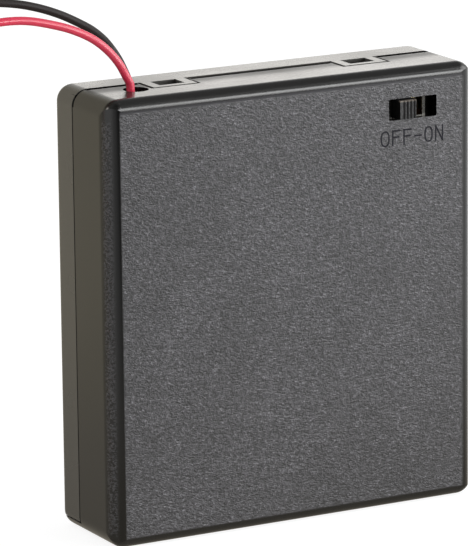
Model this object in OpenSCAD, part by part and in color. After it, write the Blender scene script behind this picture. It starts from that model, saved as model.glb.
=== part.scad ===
// Enclosed battery holder for four round cells lying side by side.
// A deep moulded case carries the cells, the contacts, the wiring and a slide
// switch. A thinner rear cover hooks in at the foot and snaps on at the head.
// Two flying leads leave through a round hole in the head.
// The holder stands on its foot: X is the width, Y runs from the front face to
// the cover, Z is the height. The origin is at the middle of the foot.

/* [Cells] */
// Diameter of one cell
cell_d = 14.5; // [14:0.1:15]
// Length of one cell over its button
cell_l = 50.5; // [48:0.5:52]
// Free width beside a cell in its bay
cell_side_room = 0.3; // [0.2:0.05:0.8]
// Free depth round a cell between the case and the cover
cell_depth_room = 0.5; // [0.4:0.1:1.2]
// Length left in a bay for the contacts
contact_room = 6.5; // [5.5:0.1:8]

/* [Case] */
// Front wall, which carries the switch window
front_wall = 1.5; // [1.2:0.1:2.4]
// Side walls of the case and the cover
side_wall = 1.6; // [1.5:0.1:2.4]
// Wall of the foot
foot_wall = 1.6; // [1.6:0.1:2.4]
// Wall of the head
head_wall = 1.8; // [1.6:0.1:2.4]
// Wall between two bays
divider = 1; // [0.8:0.1:1.6]
// Height of the bay walls above the front wall
divider_h = 7.2; // [5:0.1:8.5]
// Height of the bay walls at their ends, where they hold the contacts
post_h = 12.4; // [10:0.1:13]
// Length of those ends
post_l = 4.2; // [3:0.1:8]
// Wall between the bays and the wiring room
partition = 1.5; // [1.2:0.1:2.4]
// Height of the wiring room
wiring_room = 9.1; // [8.6:0.1:12]
// Corner radius of the front outline
corner_r = 2.6; // [1.8:0.1:4]
// Rounding of the front edges at head and foot
front_edge_r = 1.7; // [0.8:0.1:1.8]
// Rounding of the upright front edges
side_edge_r = 2.6; // [1.8:0.1:3]
// Width of a cradle rib under a cell
cradle_t = 1.2; // [0.8:0.1:2]
// Height of a cradle rib at the bay wall
cradle_h = 2.2; // [1:0.1:3]
// Distance of the cradle ribs from the bay's middle
cradle_from_middle = 14; // [8:1:18]

/* [Cover] */
// Depth of the cover, from its back to the seam
cover_depth = 6.6; // [5.6:0.1:7.6]
// Back wall of the cover
cover_wall = 1.5; // [1.2:0.1:2]
// Rounding of the cover's back edges
back_edge_r = 1.5; // [0.6:0.1:1.6]
// Gap along the seam
seam_gap = 0.3; // [0.2:0.05:0.5]
// Extra gap of the seam round the head corners
corner_relief = 0.3; // [0.1:0.05:0.5]
// Width of the pry groove in the head, between the snap loops
pry_w = 0.9; // [0.5:0.1:1.2]
// Depth of the pry groove
pry_depth = 0.9; // [0.5:0.1:1]
// Thickness of the case's tongue inside the seam
tongue_t = 0.7; // [0.5:0.05:0.8]
// Height of the tongue above the seam
tongue_h = 1; // [0.6:0.1:1.6]
// Gap between the tongue and the cover's lip
lip_gap = 0.25; // [0.2:0.05:0.3]
// Width of a foot tab
tab_w = 6; // [4:0.5:9]
// Thickness of a foot tab
tab_t = 0.6; // [0.5:0.05:0.8]
// How far a foot tab reaches into its slot
tab_reach = 0.8; // [0.5:0.1:0.9]
// Distance of the foot tabs from the middle
tab_from_middle = 16; // [10:1:22]

/* [Snap loops] */
// Distance of the loops from the middle
loop_from_middle = 17; // [14:0.5:19]
// Width over one loop
loop_w = 7.6; // [6.5:0.1:9]
// Width of a loop's legs
loop_leg = 1.6; // [1.2:0.1:2]
// Width of a loop's cross bar
loop_bar = 1.1; // [0.8:0.1:1.6]
// How far a loop reaches past the seam
loop_reach = 4.4; // [3.6:0.1:4.8]
// Thickness of a loop
loop_t = 1.2; // [1:0.1:1.4]
// Gap between a loop and the right side of its notch
loop_gap = 0.35; // [0.25:0.05:0.5]
// Gap between a loop and the left side of its notch
loop_gap_left = 0.7; // [0.4:0.05:0.8]
// Gap between a loop's cross bar and the front of its notch
loop_gap_front = 0.6; // [0.4:0.05:0.8]
// Depth of the notch that takes a loop
notch_depth = 2.2; // [2:0.1:2.6]
// Height of the catch inside a loop
catch_h = 0.8; // [0.4:0.1:0.8]

/* [Switch] */
// Distance of the switch from the right side
switch_from_side = 11.5; // [10.8:0.1:14]
// Distance of the switch from the head
switch_from_head = 6.4; // [6.2:0.1:7]
// Width of the window
window_w = 8.7; // [7.5:0.1:9.5]
// Height of the window
window_h = 3.4; // [3.2:0.1:4]
// How far the window's middle lies right of the switch's middle
window_shift = 0.2; // [0:0.05:0.3]
// Width of the knob
knob_w = 2.9; // [2.2:0.1:3]
// Height of the knob
knob_h = 3; // [2.4:0.1:3]
// How far the knob stands out of the front wall
knob_out = 1.1; // [0.4:0.1:2]
// Travel of the knob from off to on
travel = 2.5; // [1.8:0.1:2.6]
// Distance between the knob's grooves
groove_pitch = 0.62; // [0.5:0.02:0.65]
// Play of the knob in the frame's slot
knob_play = 0.1; // [0.08:0.01:0.2]
// Width of the switch frame's box
frame_w = 10.4; // [9.8:0.1:11]
// Height of the switch frame's box
frame_h = 5; // [4.6:0.1:5.6]
// Depth of the switch frame's box
frame_depth = 3.6; // [3.2:0.1:4.4]
// Sheet of the switch frame
frame_t = 0.35; // [0.3:0.05:0.5]
// Length of an ear of the switch frame
ear_l = 3; // [2.6:0.1:3.2]
// Diameter of the pegs that hold the ears
peg_d = 1.4; // [1.2:0.1:1.6]
// Distance between the switch terminals
terminal_pitch = 2.8; // [2.5:0.1:3]
// Length of a terminal behind the switch base
terminal_l = 3; // [2:0.1:4]

/* [Contacts] */
// Sheet of the contacts
contact_t = 0.3; // [0.25:0.05:0.4]
// Play of a contact in its slot
contact_play = 0.15; // [0.1:0.05:0.2]
// Width of a contact plate
contact_w = 13.2; // [12.8:0.1:14]
// Height of a contact plate above the front wall
contact_h = 12.4; // [11:0.1:13]
// Width of the ribs that hold a contact plate
rib_w = 1.6; // [1.2:0.1:2.2]
// Thickness of those ribs
rib_t = 1; // [0.8:0.1:1.2]
// Diameter of the button of a positive contact
button_d = 5; // [4:0.1:6]
// Height of that button
button_h = 1; // [0.6:0.1:1.4]
// Width of a solder tail
tail_w = 3; // [2:0.1:4]
// How far a solder tail reaches into the wiring room
tail_l = 3.2; // [2.4:0.1:4]

/* [Springs] */
// Wire of the springs
spring_wire = 0.7; // [0.5:0.05:0.9]
// Diameter over the first coil
spring_base_d = 10.4; // [9:0.1:11.5]
// Diameter over the last coil
spring_tip_d = 6.2; // [5.4:0.1:7]
// Free length of a spring
spring_l = 8.4; // [7:0.1:10]
// Number of coils
spring_coils = 5; // [4:1:6]

/* [Leads] */
// Diameter over the insulation
lead_d = 1.3; // [1:0.05:1.4]
// Diameter of the bare tinned end
tip_d = 0.7; // [0.5:0.05:0.9]
// Length of the bare tinned end
tip_l = 5; // [3:0.5:8]
// Diameter of the hole for the leads
hole_d = 4; // [3.8:0.1:4.4]
// Distance of the hole from the left side
hole_from_side = 8.8; // [8:0.1:9]
// Distance of the hole from the front face
hole_from_front = 7.1; // [6.6:0.1:7.2]
// Diameter of a solder joint
solder_d = 2; // [1.6:0.1:2.4]
// Height of a solder joint
solder_h = 1.8; // [1.4:0.1:2.2]

/* [Hidden] */
$fn = 48;
eps = 0.01;

// overall sizes follow from the cells and the walls
bay_w = cell_d + cell_side_room;
pitch = bay_w + divider;
bay_l = cell_l + contact_room;
box_w = 4 * bay_w + 3 * divider + 2 * side_wall;
box_d = front_wall + cell_d + cell_depth_room + cover_wall;
box_h = foot_wall + bay_l + partition + wiring_room + head_wall;
bay_x = [-1.5 * pitch, -0.5 * pitch, 0.5 * pitch, 1.5 * pitch];
in_w = box_w - 2 * side_wall;

// depths, with the knob counted in the middle of the whole depth
y_front = (knob_out - box_d) / 2;
y_in = y_front + front_wall;
y_back = y_front + box_d;
y_back_in = y_back - cover_wall;
y_seam = y_back - cover_depth;
y_cell = y_in + (cell_d + cell_depth_room) / 2;

// heights
z_foot = foot_wall;
z_bay_end = foot_wall + bay_l;
z_wiring = z_bay_end + partition;
z_head_in = z_wiring + wiring_room;
z_cover = foot_wall + seam_gap;

// the partition stops short of the cover's back wall
partition_h = y_back_in - y_in - 0.4;
lip_t = side_wall - tongue_t - lip_gap;
head_lip_t = head_wall - tongue_t - lip_gap;

// the tab's slot is longer in front, where the tab swings as the cover tilts
slot_side_gap = 0.3;
slot_front_gap = 0.45;
slot_back_gap = 0.2;
slot_depth = tab_reach + 0.2;

// switch
x_switch = box_w / 2 - switch_from_side;
z_switch = box_h - switch_from_head;
x_knob = x_switch - travel / 2;
slot_w = knob_w + travel + 2 * knob_play;
slot_h = knob_h + 2 * knob_play;
y_frame = y_in + frame_t;
y_frame_back = y_in + frame_depth;
flange_t = 0.9;
flange_h = frame_h - 2 * frame_t - 0.3;
flange_w = knob_w + 1.6;
wiper_t = 0.25;
wiper_gap = 0.1;
base_t = 1;
y_base = y_frame_back - frame_t - base_t;
terminal_w = 1.4;
terminal_t = 0.4;
terminal_head = y_base - y_frame - flange_t - 0.1 - wiper_t - wiper_gap;
ear_hole_d = peg_d + 0.2;
peg_x = frame_w / 2 + ear_l / 2 + 0.1;
peg_head_d = peg_d + 0.9;
peg_head_t = 0.5;

// leads
x_hole = hole_from_side - box_w / 2;
y_hole = y_front + hole_from_front;
z_join = box_h - head_wall / 2;
red_exit = [x_hole - 1.15, y_hole - 0.5, z_join];
black_exit = [x_hole - 0.3, y_hole + 1.2, z_join];
y_tail = y_in + contact_h;

// chosen routes, from the joint inside the hole to the end of the insulation
red_route = [
    red_exit, red_exit + [0, 0, 0.7], red_exit + [-0.1, 0, 2], red_exit + [-0.8, 0, 3.3],
    red_exit + [-1.8, 0, 5.1],
    [-28.5, -1.7, 77.3], [-31.1, -1.6, 79.5], [-34.6, -1.5, 81.3], [-38.2, -1.5, 82.5],
    [-42.6, -1.5, 83.5], [-47, -1.6, 83.7], [-51.6, -1.8, 83.2], [-56.2, -2, 81.6],
    [-60.6, -2.2, 78.6], [-64.4, -2.4, 74.4], [-67.4, -2.6, 69], [-69.6, -2.8, 62.6],
    [-71.2, -3, 55.4], [-72.4, -3.2, 47.6], [-73.2, -3.4, 39.4], [-73.7, -3.6, 31],
    [-74, -3.8, 22.8], [-74, -4, 15.2], [-73.5, -4.3, 9], [-72.2, -4.7, 4.4],
    [-70, -5.2, 1.7], [-67, -5.8, 0.7], [-62.4, -6.6, 0.7], [-57.6, -7.4, 0.7]];
black_route = [
    black_exit, black_exit + [0, 0, 0.7], black_exit + [-0.1, 0.1, 1.6],
    black_exit + [-0.5, 0.2, 2.7], black_exit + [-1, 0.3, 3.9], black_exit + [-1.7, 0.6, 5.5],
    [-26.8, 0.7, 77.1], [-28.1, 1, 78.8], [-29.9, 1.3, 80.4], [-32.2, 1.6, 81.8],
    [-35.2, 1.8, 83.3], [-39, 1.9, 84.7], [-43.2, 2, 85.7], [-47.8, 2.2, 86.1],
    [-52.6, 2.4, 85.5], [-57.2, 2.6, 83.6], [-61.4, 2.8, 80.4], [-65, 3, 75.8],
    [-67.8, 3.2, 70.2], [-69.8, 3.4, 63.6], [-71.2, 3.6, 56.2], [-72.2, 3.8, 48.2],
    [-72.8, 4, 40], [-73.2, 4.2, 31.6], [-73.4, 4.4, 23.4], [-73.3, 4.7, 15.8],
    [-72.7, 5, 9.4], [-71.3, 5.4, 4.6], [-69.1, 5.9, 1.7], [-66, 6.5, 0.7], [-60.2, 7.4, 0.7]];

// ---- curves and shared shapes ----

function unit(v) = v / norm(v);

// direction of a route at point i
function heading(p, i) =
    i == 0 ? unit(p[1] - p[0]) :
    i == len(p) - 1 ? unit(p[i] - p[i - 1]) :
    unit(unit(p[i + 1] - p[i]) + unit(p[i] - p[i - 1]));

// side vectors carried along a route without twist
function side_vectors(p, n, i = 0) =
    let (t = heading(p, i), m = unit(n - (n * t) * t))
    i == len(p) - 1 ? [m] : concat([m], side_vectors(p, m, i + 1));

// closed tube swept along a route
module tube(p, d, sides = 8) {
    m = len(p);
    s = side_vectors(p, [0, 1, 0.1]);
    ring = [for (i = [0 : m - 1], k = [0 : sides - 1])
        let (a = 360 * (k + 0.5) / sides, b = cross(heading(p, i), s[i]))
        p[i] + d / 2 * (cos(a) * s[i] + sin(a) * b)];
    walls = [for (i = [0 : m - 2], k = [0 : sides - 1])
        let (n = (k + 1) % sides)
        [i * sides + k, (i + 1) * sides + k, (i + 1) * sides + n, i * sides + n]];
    caps = [[for (k = [0 : sides - 1]) k],
        [for (k = [sides - 1 : -1 : 0]) (m - 1) * sides + k]];
    polyhedron(points = ring, faces = concat(walls, caps), convexity = 6);
}

// rectangle with true round corners
module round_rect(w, h, r) {
    square([w - 2 * r, h], center = true);
    square([w, h - 2 * r], center = true);
    for (x = [-1, 1], y = [-1, 1])
        translate([x * (w / 2 - r), y * (h / 2 - r)]) circle(r = r);
}

// section through a rounded edge: r is the outline's corner, e the edge radius
module edge_section(r, e, depth) {
    difference() {
        square([r, depth]);
        difference() {
            translate([r - e, -1]) square([e + 1, e + 1]);
            translate([r - e, e]) circle(r = e);
        }
    }
}

// half shell block: outline w by h with corner r, face at Y 0 with edge radius e
module shell_block(w, h, r, e, depth) {
    translate([r - w / 2, 0, r]) cube([w - 2 * r, depth, h - 2 * r]);
    for (s = [0, 1]) {
        mirror([s, 0, 0]) translate([w / 2 - r, 0, r])
            linear_extrude(h - 2 * r) edge_section(r, e, depth);
        translate([0, 0, s * h]) mirror([0, 0, s]) translate([r - w / 2, 0, r])
            rotate([0, 90, 0]) linear_extrude(w - 2 * r) edge_section(r, e, depth);
        for (t = [0, 1])
            translate([0, 0, t * h]) mirror([0, 0, t]) mirror([s, 0, 0])
                translate([w / 2 - r, 0, r]) rotate([-90, 0, 0])
                    rotate_extrude(angle = 90) edge_section(r, e, depth);
    }
}

// ---- case ----

// outer form of the front half, with the larger rounding on the upright edges
module front_form() {
    difference() {
        translate([0, y_front, 0])
            shell_block(box_w, box_h, corner_r, front_edge_r, y_seam - y_front);
        for (s = [0, 1]) mirror([s, 0, 0])
            translate([box_w / 2 - side_edge_r, y_front + side_edge_r, -1])
                linear_extrude(box_h + 2)
                    difference() {
                        translate([0, -side_edge_r - 1]) square(side_edge_r + 1);
                        circle(r = side_edge_r);
                    }
    }
}

// outer form of the back half
module back_form() {
    translate([0, y_back, 0]) mirror([0, 1, 0])
        shell_block(box_w, box_h, corner_r, back_edge_r, cover_depth);
}

// tongue that stands inside the seam along the sides and the head
module tongue() {
    y0 = y_seam - 1;
    depth = 1 + tongue_h;
    for (s = [-1, 1])
        translate([s * (in_w / 2 + tongue_t / 2) - tongue_t / 2, y0, foot_wall])
            cube([tongue_t, depth, z_head_in - foot_wall + tongue_t]);
    translate([-in_w / 2 - tongue_t, y0, z_head_in])
        cube([in_w + 2 * tongue_t, depth, tongue_t]);
}

// wall between two bays: low for the fingers, high at both ends
module bay_wall(x, from_foot, from_end) {
    a = z_foot + from_foot;
    b = z_bay_end - from_end;
    translate([x - divider / 2, 0, 0]) rotate([90, 0, 90]) linear_extrude(divider)
        polygon([[y_in, a], [y_in + post_h, a], [y_in + post_h, z_foot + post_l],
            [y_in + divider_h, z_foot + post_l + 3],
            [y_in + divider_h, z_bay_end - post_l - 3],
            [y_in + post_h, z_bay_end - post_l], [y_in + post_h, b], [y_in, b]]);
}

// cradle rib that seats a cell, cut by the cell's own round
module cradle(x, z) {
    difference() {
        translate([x - bay_w / 2, y_in, z - cradle_t / 2])
            cube([bay_w, cradle_h, cradle_t]);
        translate([x, y_cell, z - cradle_t])
            cylinder(d = bay_w, h = 2 * cradle_t);
    }
}

// ribs on one side of a bay that hold a contact plate at the foot or the head
module contact_ribs(x, side, top, height) {
    z = top ? z_bay_end - contact_t - 2 * contact_play - rib_t
        : z_foot + contact_t + 2 * contact_play;
    translate([x + side * (bay_w / 2 - rib_w / 2) - rib_w / 2, y_in, z])
        cube([rib_w, height, rib_t]);
}

// block under a notch, with the catch's ground
module catch_block(x) {
    z0 = box_h - notch_depth - 1.1;
    translate([x - loop_w / 2 - loop_gap_left - 1, y_seam - loop_reach - loop_gap_front - 1, z0])
        cube([loop_w + loop_gap_left + loop_gap + 2, loop_reach + loop_gap_front + 1,
            z_head_in - z0 + eps]);
}

module notch(x) {
    translate([x - loop_w / 2 - loop_gap_left, y_seam - loop_reach - loop_gap_front,
        box_h - notch_depth])
        cube([loop_w + loop_gap_left + loop_gap, loop_reach + loop_gap_front + tongue_h + 1,
            notch_depth + 1]);
}

// catch inside a loop, with a ramp towards the cover
module catch(x) {
    w = loop_w - 2 * loop_leg - 0.8;
    y0 = y_seam - loop_reach + loop_bar + 0.4;
    z0 = box_h - notch_depth;
    translate([x - w / 2, 0, 0]) rotate([90, 0, 90]) linear_extrude(w)
        polygon([[y0, z0 - eps], [y0, z0 + catch_h], [y0 + 0.5, z0 + catch_h],
            [y0 + 1.8, z0 - eps]]);
}

// peg with a staked head that holds one ear of the switch
module ear_peg(s) {
    translate([x_switch + s * peg_x, y_in - eps, z_switch]) rotate([-90, 0, 0]) {
        cylinder(d = peg_d, h = frame_t + 0.1 + eps);
        translate([0, 0, frame_t + 0.1 + eps]) cylinder(d = peg_head_d, h = peg_head_t);
    }
}

module case_tub() {
    plate_slot = contact_t + 2 * contact_play;
    color([0.2, 0.2, 0.21]) difference() {
        union() {
            difference() {
                union() {
                    front_form();
                    intersection() {
                        back_form();
                        translate([-box_w, y_seam - eps, -1])
                            cube([2 * box_w, box_d, foot_wall + 1]);
                    }
                }
                translate([-in_w / 2, y_in, foot_wall])
                    cube([in_w, box_d, z_head_in - foot_wall]);
                // the seam is wider round the head corners
                for (s = [0, 1]) mirror([s, 0, 0])
                    translate([box_w / 2 - corner_r, y_seam - corner_relief, box_h - corner_r])
                        cube([corner_r + 1, corner_relief + 1, corner_r + 1]);
            }
            difference() {
                tongue();
                for (s = [-1, 1]) notch(s * loop_from_middle);
            }
            translate([-in_w / 2 - eps, y_in - eps, z_bay_end])
                cube([in_w + 2 * eps, y_seam - y_in + eps, partition]);
            translate([-in_w / 2 + 0.3, y_in, z_bay_end])
                cube([in_w - 0.6, partition_h, partition]);
            bay_wall(-pitch, plate_slot, 0);
            bay_wall(0, 0, plate_slot);
            bay_wall(pitch, plate_slot, 0);
            for (x = bay_x, s = [-1, 1]) cradle(x, z_foot + bay_l / 2 + s * cradle_from_middle);
            for (i = [0 : 3], s = [-1, 1], top = [false, true])
                contact_ribs(bay_x[i], s, top,
                    (i == 0 && s < 0) || (i == 3 && s > 0) ? y_seam - y_in : post_h);
            for (s = [-1, 1]) {
                catch_block(s * loop_from_middle);
                ear_peg(s);
            }
        }
        // window for the knob
        translate([x_switch + window_shift, y_in + 1, z_switch]) rotate([90, 0, 0])
            linear_extrude(front_wall + 2) round_rect(window_w, window_h, 0.25);
        // hole for the leads
        translate([x_hole, y_hole, z_head_in - 2]) cylinder(d = hole_d, h = head_wall + 4);
        // notches for the snap loops
        for (s = [-1, 1]) difference() {
            notch(s * loop_from_middle);
            catch(s * loop_from_middle);
        }
        // groove along the seam that lets a fingernail lift the cover
        translate([-loop_from_middle, y_seam - pry_w, box_h - pry_depth])
            cube([2 * loop_from_middle, pry_w + 0.5, pry_depth + 1]);
        // slots for the foot tabs
        for (s = [-1, 1])
            translate([s * tab_from_middle - tab_w / 2 - slot_side_gap,
                y_back_in - slot_front_gap, foot_wall - slot_depth])
                cube([tab_w + 2 * slot_side_gap, tab_t + slot_front_gap + slot_back_gap,
                    slot_depth + 1]);
        // open notches that let the solder tails through the partition
        for (x = [bay_x[0], bay_x[3]])
            translate([x - tail_w / 2 - 0.3, y_tail - contact_t - 0.3, z_bay_end - 1])
                cube([tail_w + 0.6, box_d, partition + 2]);
    }
}

// ---- cover ----

module snap_loop(x) {
    hole_w = loop_w - 2 * loop_leg;
    y0 = y_seam - loop_reach;
    back = y_seam + tongue_h + 2 * seam_gap + 0.4;
    translate([x, 0, box_h - loop_t]) linear_extrude(loop_t) difference() {
        translate([-loop_w / 2, y0]) square([loop_w, back - y0]);
        translate([-hole_w / 2, y0 + loop_bar]) square([hole_w, loop_reach - loop_bar]);
    }
}

module foot_tab(x) {
    translate([x - tab_w / 2, y_back_in, z_cover - seam_gap - tab_reach])
        cube([tab_w, tab_t, tab_reach + seam_gap + 0.5]);
}

module case_cover() {
    reach = tongue_h + 2 * seam_gap;
    color([0.23, 0.23, 0.23]) {
        difference() {
            intersection() {
                back_form();
                translate([-box_w, y_seam + seam_gap, z_cover])
                    cube([2 * box_w, box_d, box_h]);
            }
            translate([-in_w / 2, y_seam - 1, -1])
                cube([in_w, y_back_in - y_seam + 1, z_head_in + 1]);
            translate([lip_t - box_w / 2, y_seam - 1, -1])
                cube([box_w - 2 * lip_t, reach + 1, box_h - head_lip_t + 1]);
        }
        for (s = [-1, 1]) {
            snap_loop(s * loop_from_middle);
            foot_tab(s * tab_from_middle);
        }
    }
}

// ---- slide switch ----

// drawn-sheet frame: front plate with a slot and two ears, and four sides
module switch_frame() {
    color([0.72, 0.72, 0.7]) translate([x_switch, 0, z_switch]) difference() {
        union() {
            translate([-frame_w / 2, y_in, -frame_h / 2]) cube([frame_w, frame_depth, frame_h]);
            for (s = [-1, 1])
                translate([s * (frame_w / 2 + ear_l / 2 - 0.5) - ear_l / 2 - 0.5, y_in, -frame_h / 2 + 0.6])
                    cube([ear_l + 1, frame_t, frame_h - 1.2]);
        }
        translate([frame_t - frame_w / 2, y_frame, frame_t - frame_h / 2])
            cube([frame_w - 2 * frame_t, frame_depth, frame_h - 2 * frame_t]);
        translate([0, y_frame + 1, 0]) rotate([90, 0, 0])
            linear_extrude(frame_t + 2) round_rect(slot_w, slot_h, 0.1);
        for (s = [-1, 1]) translate([s * peg_x, y_frame + 1, 0]) rotate([90, 0, 0])
            cylinder(d = ear_hole_d, h = frame_t + 2);
        // relief between the two crimped lips on each long side
        for (s = [-1, 1]) translate([-frame_w / 6, y_frame_back - 0.8, s * frame_h / 2 - 0.5])
            cube([frame_w / 3, 2, 1]);
    }
}

// insulating base, seated in the back of the frame
module switch_base() {
    w = frame_w - 2 * frame_t;
    h = frame_h - 2 * frame_t;
    color([0.32, 0.2, 0.13]) translate([x_switch, 0, z_switch]) difference() {
        translate([-w / 2, y_base, -h / 2]) cube([w, base_t + 0.2, h]);
        for (i = [-1 : 1])
            translate([i * terminal_pitch - terminal_w / 2, y_base - 1, -terminal_t / 2])
                cube([terminal_w, base_t + 3, terminal_t]);
    }
}

// terminal i with its contact head inside and its solder eye outside
module terminal(i) {
    head_w = terminal_pitch - 0.5;
    color([0.8, 0.7, 0.45]) translate([x_switch + i * terminal_pitch, 0, z_switch]) difference() {
        union() {
            translate([-terminal_w / 2, y_base, -terminal_t / 2])
                cube([terminal_w, base_t + 0.2 + terminal_l, terminal_t]);
            translate([-head_w / 2, y_base - terminal_head, -1]) cube([head_w, terminal_head, 2]);
        }
        translate([0, y_base + base_t + terminal_l - 0.7, 0])
            cylinder(d = 0.7, h = 2, center = true);
    }
}

module terminal_off() {
    terminal(-1);
}

module terminal_common() {
    terminal(0);
}

module terminal_on() {
    terminal(1);
}

// knob with four grooves, and the flange that slides behind the frame's slot
module switch_knob() {
    y0 = y_front - knob_out;
    groove = groove_pitch * 0.47;
    color([0.16, 0.16, 0.16]) translate([x_knob, 0, z_switch]) {
        difference() {
            translate([-knob_w / 2, y0, -knob_h / 2])
                cube([knob_w, y_frame + 0.05 - y0 + eps, knob_h]);
            for (i = [-1.5 : 1 : 1.5])
                translate([i * groove_pitch + knob_w / 2 - 2 * groove_pitch, y0, 0])
                    rotate([0, 0, 45]) cube([groove, groove, knob_h + 2], center = true);
        }
        translate([-flange_w / 2, y_frame + 0.05, -flange_h / 2]) cube([flange_w, flange_t, flange_h]);
    }
}

// springy bridge carried by the knob's flange
module switch_wiper() {
    w = terminal_pitch * 2 - 1;
    color([0.8, 0.55, 0.3]) translate([x_knob - (terminal_pitch - travel) / 2, y_frame + 0.05 + flange_t, z_switch])
        translate([-w / 2, 0, -0.8]) cube([w, wiper_t, 1.6]);
}

// ---- contacts ----

// plate from bay a to bay b; top plates hang from the partition
module contact_plate(a, b, top) {
    w = bay_x[b] - bay_x[a] + contact_w;
    z = top ? z_bay_end - contact_t - contact_play : z_foot + contact_play;
    translate([(bay_x[a] + bay_x[b]) / 2 - w / 2, y_in + 0.1, z])
        cube([w, contact_h - 0.1, contact_t]);
}

// pressed button that meets the cell's positive pole
module button(i, top) {
    z = top ? z_bay_end - contact_t - contact_play : z_foot + contact_play + contact_t;
    r = (pow(button_d / 2, 2) + pow(button_h, 2)) / (2 * button_h);
    translate([bay_x[i], y_cell, z]) mirror([0, 0, top ? 1 : 0]) difference() {
        translate([0, 0, button_h - r]) sphere(r = r);
        translate([-r, -r, -2 * r - eps]) cube([2 * r, 2 * r, 2 * r]);
    }
}

// pressed boss that centres a spring's first coil
module spring_boss(i, top) {
    z = top ? z_bay_end - contact_t - contact_play : z_foot + contact_play + contact_t;
    translate([bay_x[i], y_cell, z]) mirror([0, 0, top ? 1 : 0])
        translate([0, 0, -eps]) cylinder(d = spring_base_d - 2 * spring_wire - 0.6, h = 0.5 + eps);
}

// tail bent up through the partition's notch
module solder_tail(i) {
    z0 = z_bay_end - contact_t - contact_play;
    translate([bay_x[i] - tail_w / 2, y_tail - contact_t, z0])
        cube([tail_w, contact_t, z_wiring + tail_l - z0]);
}

module contact_positive() {
    color([0.78, 0.77, 0.73]) {
        contact_plate(0, 0, true);
        button(0, true);
        solder_tail(0);
    }
}

module contact_negative() {
    color([0.78, 0.77, 0.73]) {
        contact_plate(3, 3, true);
        spring_boss(3, true);
        solder_tail(3);
    }
}

module bridge_head() {
    color([0.78, 0.77, 0.73]) {
        contact_plate(1, 2, true);
        spring_boss(1, true);
        button(2, true);
    }
}

module bridge_foot_left() {
    color([0.78, 0.77, 0.73]) {
        contact_plate(0, 1, false);
        spring_boss(0, false);
        button(1, false);
    }
}

module bridge_foot_right() {
    color([0.78, 0.77, 0.73]) {
        contact_plate(2, 3, false);
        spring_boss(2, false);
        button(3, false);
    }
}

// conical coil spring standing on its plate, first and last coil laid flat
module coil_spring(i, top) {
    steps = 12;
    n = spring_coils * steps;
    r0 = (spring_base_d - spring_wire) / 2;
    r1 = (spring_tip_d - spring_wire) / 2;
    rise = spring_l - spring_wire;
    z = top ? z_bay_end - contact_t - contact_play : z_foot + contact_play + contact_t;
    route = [for (k = [0 : n])
        let (u = k / n, turns = k / steps, a = 360 * turns,
            s = max(0, min(1, (turns - 0.8) / (spring_coils - 1.6))),
            r = r0 + (r1 - r0) * s)
        [r * cos(a), r * sin(a), 0.02 + spring_wire / 2 + rise * s + 0 * u]];
    color([0.8, 0.79, 0.76]) translate([bay_x[i], y_cell, z])
        mirror([0, 0, top ? 1 : 0]) tube(route, spring_wire, 6);
}

module spring_1() {
    coil_spring(0, false);
}

module spring_2() {
    coil_spring(1, true);
}

module spring_3() {
    coil_spring(2, false);
}

module spring_4() {
    coil_spring(3, true);
}

// ---- wiring ----

// drop of solder on the back of a tail, cut flat where it sits
module tail_joint(i) {
    color([0.75, 0.75, 0.74]) difference() {
        translate([bay_x[i], y_tail + lead_d / 2, z_wiring + tail_l - solder_h - 0.2])
            rotate_extrude() polygon([[0, 0], [solder_d * 0.32, 0], [solder_d / 2, solder_h * 0.35],
                [solder_d * 0.42, solder_h * 0.8], [lead_d / 2, solder_h], [0, solder_h]]);
        translate([bay_x[i] - 5, y_tail - 10, z_bay_end]) cube([10, 10, 20]);
    }
}

// drop of solder on the upper face of a terminal, or below it
module terminal_joint(i, below = 0) {
    color([0.75, 0.75, 0.74])
        translate([x_switch + i * terminal_pitch, y_base + base_t + terminal_l - 0.7, z_switch])
            mirror([0, 0, below]) translate([0, 0, terminal_t / 2])
                rotate_extrude() polygon([[0, 0], [terminal_w / 2, 0], [terminal_w / 2, 0.4],
                    [lead_d / 2, 1], [0, 1]]);
}

module solder_positive() {
    tail_joint(0);
}

module solder_negative() {
    tail_joint(3);
}

module solder_common() {
    terminal_joint(0);
}

module solder_on() {
    terminal_joint(1, 1);
}

// ends of a tail's joint and of a terminal's joint, where a lead begins
function tail_top(i) = [bay_x[i], y_tail + lead_d / 2, z_wiring + tail_l - 0.2];
function terminal_end(i, side) = [x_switch + i * terminal_pitch,
    y_base + base_t + terminal_l - 0.7, z_switch + side * (terminal_t / 2 + 1)];

module inner_lead_red() {
    a = tail_top(0);
    b = red_exit;
    color([0.8, 0.12, 0.18]) tube([a, a + [0, 0, 1], a + [-0.3, -2, 2.4],
        b + [-0.65, 3, -3.8], b + [-0.75, 1.2, -2.8], b + [-0.2, 0.2, -1.7], b + [0, 0, -0.7], b],
        lead_d);
}

// runs behind the switch and along the room's floor to the hole
module inner_lead_black() {
    a = terminal_end(1, -1);
    b = black_exit;
    y = y_tail - 2.9;
    z = z_wiring + lead_d / 2 + 0.55;
    color([0.12, 0.12, 0.12]) tube([a, a + [0, 0, -0.4], a + [-0.5, 0.5, -1.1],
        [a[0] - 2, y - 2, z + 0.2], [a[0] - 6.2, y - 0.7, z], [x_switch / 2, y, z],
        [0, y, z + 0.4], [x_hole / 3, y, z + 1.3], [x_hole * 0.6, y - 0.4, z + 2.2],
        b + [4, 1.4, -5.3], b + [0.9, 0.3, -3.5], b + [0.1, 0, -1.8], b + [0, 0, -0.7], b], lead_d);
}

module jumper_lead() {
    a = tail_top(3);
    b = terminal_end(0, 1);
    color([0.12, 0.12, 0.12]) tube([a, a + [0, 0, 1.2], a + [-0.5, -1.7, 2.6], b + [0.9, 2.8, 1.05],
        b + [0.2, 0.8, 0.95], b + [0, 0, 0.4], b], lead_d);
}

module lead_red() {
    color([0.8, 0.12, 0.18]) tube(red_route, lead_d);
}

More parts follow.
